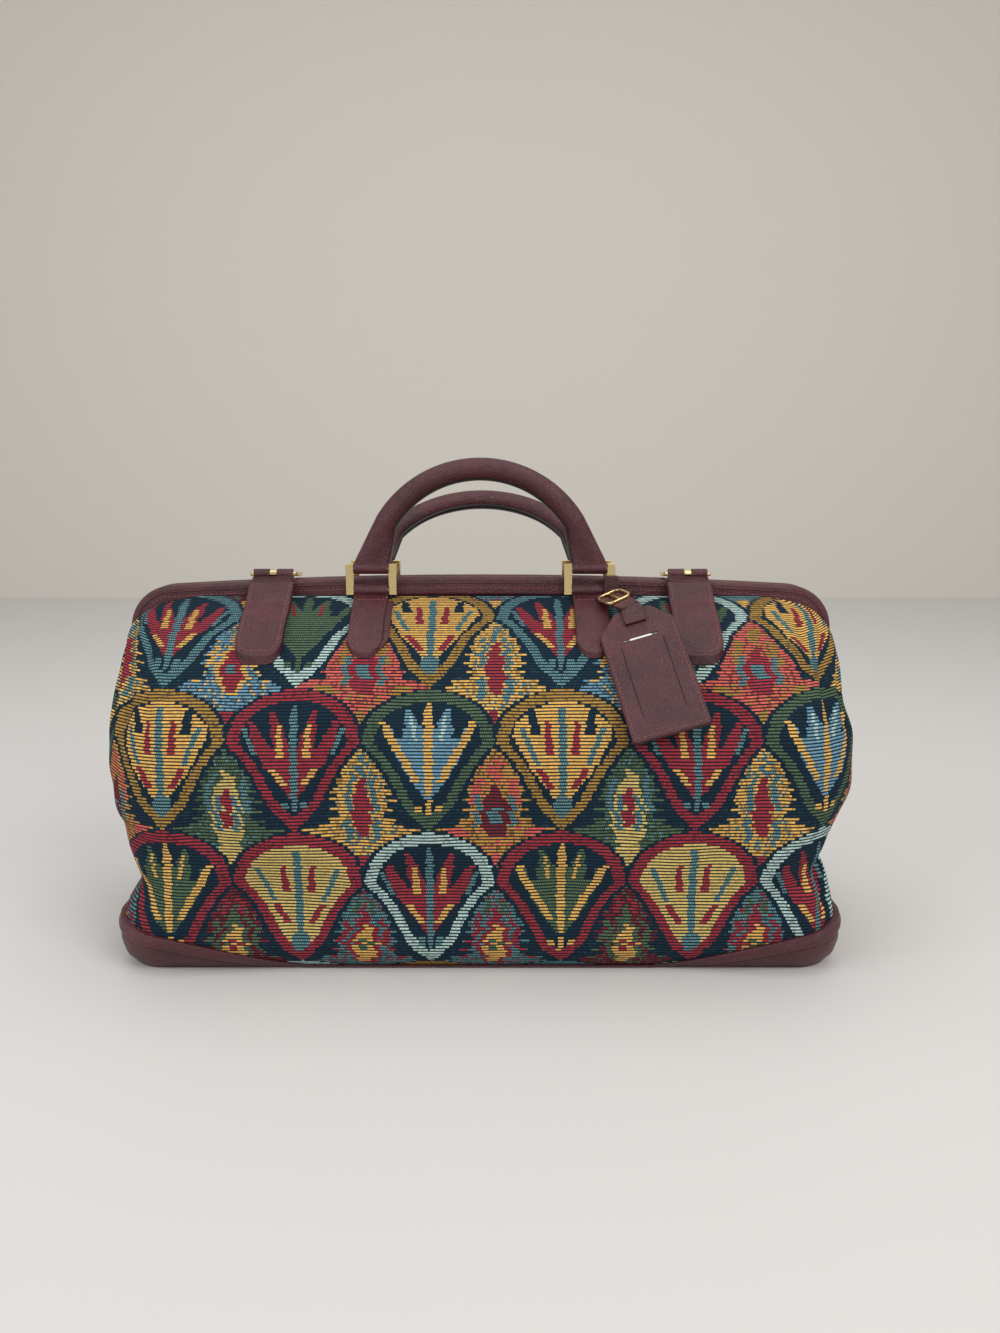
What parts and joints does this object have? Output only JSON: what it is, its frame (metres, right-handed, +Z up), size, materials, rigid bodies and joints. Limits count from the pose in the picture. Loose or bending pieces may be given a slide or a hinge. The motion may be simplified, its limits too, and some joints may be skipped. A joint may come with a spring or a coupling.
{
  "type": "carpet bag",
  "caption": "Tapestry carpet bag with burgundy leather base corners, hinged leather-bound mouth frame, rolled handles on brass rings, buckle tabs and a luggage tag.",
  "frame": {"origin": "middle of the base, on the surface the bag stands on", "axes": "+X along the bag to its right end, -Y to the front with the tag, +Z up"},
  "size_m": [0.5562, 0.2319, 0.372],
  "materials": {
    "tapestry": "ribbed woven tapestry, multicolour on navy",
    "burgundy_leather": "smooth burgundy leather with a soft sheen",
    "brass": "polished pale brass",
    "frame_steel": "plain drawn steel",
    "board": "plain fibreboard",
    "card": "matte white card"
  },
  "bodies": {
    "bag_body": {"front_panel": "tapestry", "rear_panel": "tapestry", "leather_base": "burgundy_leather", "base_board": "board", "front_frame_bar": "frame_steel", "front_frame_binding": "burgundy_leather", "left_hinge_pin": "frame_steel", "right_hinge_pin": "frame_steel", "front_left_chape": "burgundy_leather", "front_right_chape": "burgundy_leather", "left_closure_tab": "burgundy_leather", "right_closure_tab": "burgundy_leather", "tag_loop": "burgundy_leather"},
    "rear_frame": {"rear_frame_bar": "frame_steel", "rear_frame_binding": "burgundy_leather", "rear_panel_roof": "tapestry", "rear_left_chape": "burgundy_leather", "rear_right_chape": "burgundy_leather", "left_rear_billet": "burgundy_leather", "right_rear_billet": "burgundy_leather"},
    "front_rings": {"front_left_ring": "brass", "front_right_ring": "brass"},
    "front_handle": {"front_handle": "burgundy_leather"},
    "rear_rings": {"rear_left_ring": "brass", "rear_right_ring": "brass"},
    "rear_handle": {"rear_handle": "burgundy_leather"},
    "left_buckle": {"left_buckle": "brass"},
    "right_buckle": {"right_buckle": "brass"},
    "left_prong": {"left_buckle_prong": "brass"},
    "right_prong": {"right_buckle_prong": "brass"},
    "luggage_tag": {"tag_body": "burgundy_leather", "tag_card": "card", "tag_strap": "burgundy_leather", "tag_buckle": "brass"}
  },
  "joints": [
    {"name": "frame_hinge", "type": "hinge", "parent": "bag_body", "child": "rear_frame", "pos_m": [0, 0, 0.172], "axis": [-1, 0, 0], "range_deg": [0, 75], "deforming": ["rear_panel_roof", "rear_left_chape", "rear_right_chape", "left_rear_billet", "right_rear_billet"]},
    {"name": "front_ring_tilt", "type": "hinge", "parent": "bag_body", "child": "front_rings", "pos_m": [0, -0.0161, 0.2721], "axis": [1, 0, 0], "range_deg": [0, 12]},
    {"name": "front_handle_swing", "type": "hinge", "parent": "front_rings", "child": "front_handle", "pos_m": [0, -0.0161, 0.2889], "axis": [1, 0, 0], "range_deg": [-5, 95]},
    {"name": "rear_ring_tilt", "type": "hinge", "parent": "rear_frame", "child": "rear_rings", "pos_m": [0, 0.0161, 0.2721], "axis": [-1, 0, 0], "range_deg": [0, 12]},
    {"name": "rear_handle_swing", "type": "hinge", "parent": "rear_rings", "child": "rear_handle", "pos_m": [0, 0.0161, 0.2889], "axis": [-1, 0, 0], "range_deg": [-44, 20]},
    {"name": "luggage_tag_lift", "type": "hinge", "parent": "bag_body", "child": "luggage_tag", "pos_m": [0.094, -0.0268, 0.2696], "axis": [-0.868, -0.3592, -0.3428], "range_deg": [0, 45]},
    {"name": "left_buckle_lift", "type": "hinge", "parent": "bag_body", "child": "left_buckle", "pos_m": [-0.16, -0.007, 0.28377], "axis": [1, 0, 0], "range_deg": [0, 110]},
    {"name": "left_prong_lift", "type": "hinge", "parent": "left_buckle", "child": "left_prong", "pos_m": [-0.16, -0.007, 0.28377], "axis": [1, 0, 0], "range_deg": [0, 50]},
    {"name": "right_buckle_lift", "type": "hinge", "parent": "bag_body", "child": "right_buckle", "pos_m": [0.16, -0.007, 0.28377], "axis": [1, 0, 0], "range_deg": [0, 110]},
    {"name": "right_prong_lift", "type": "hinge", "parent": "right_buckle", "child": "right_prong", "pos_m": [0.16, -0.007, 0.28377], "axis": [1, 0, 0], "range_deg": [0, 50]}
  ]
}
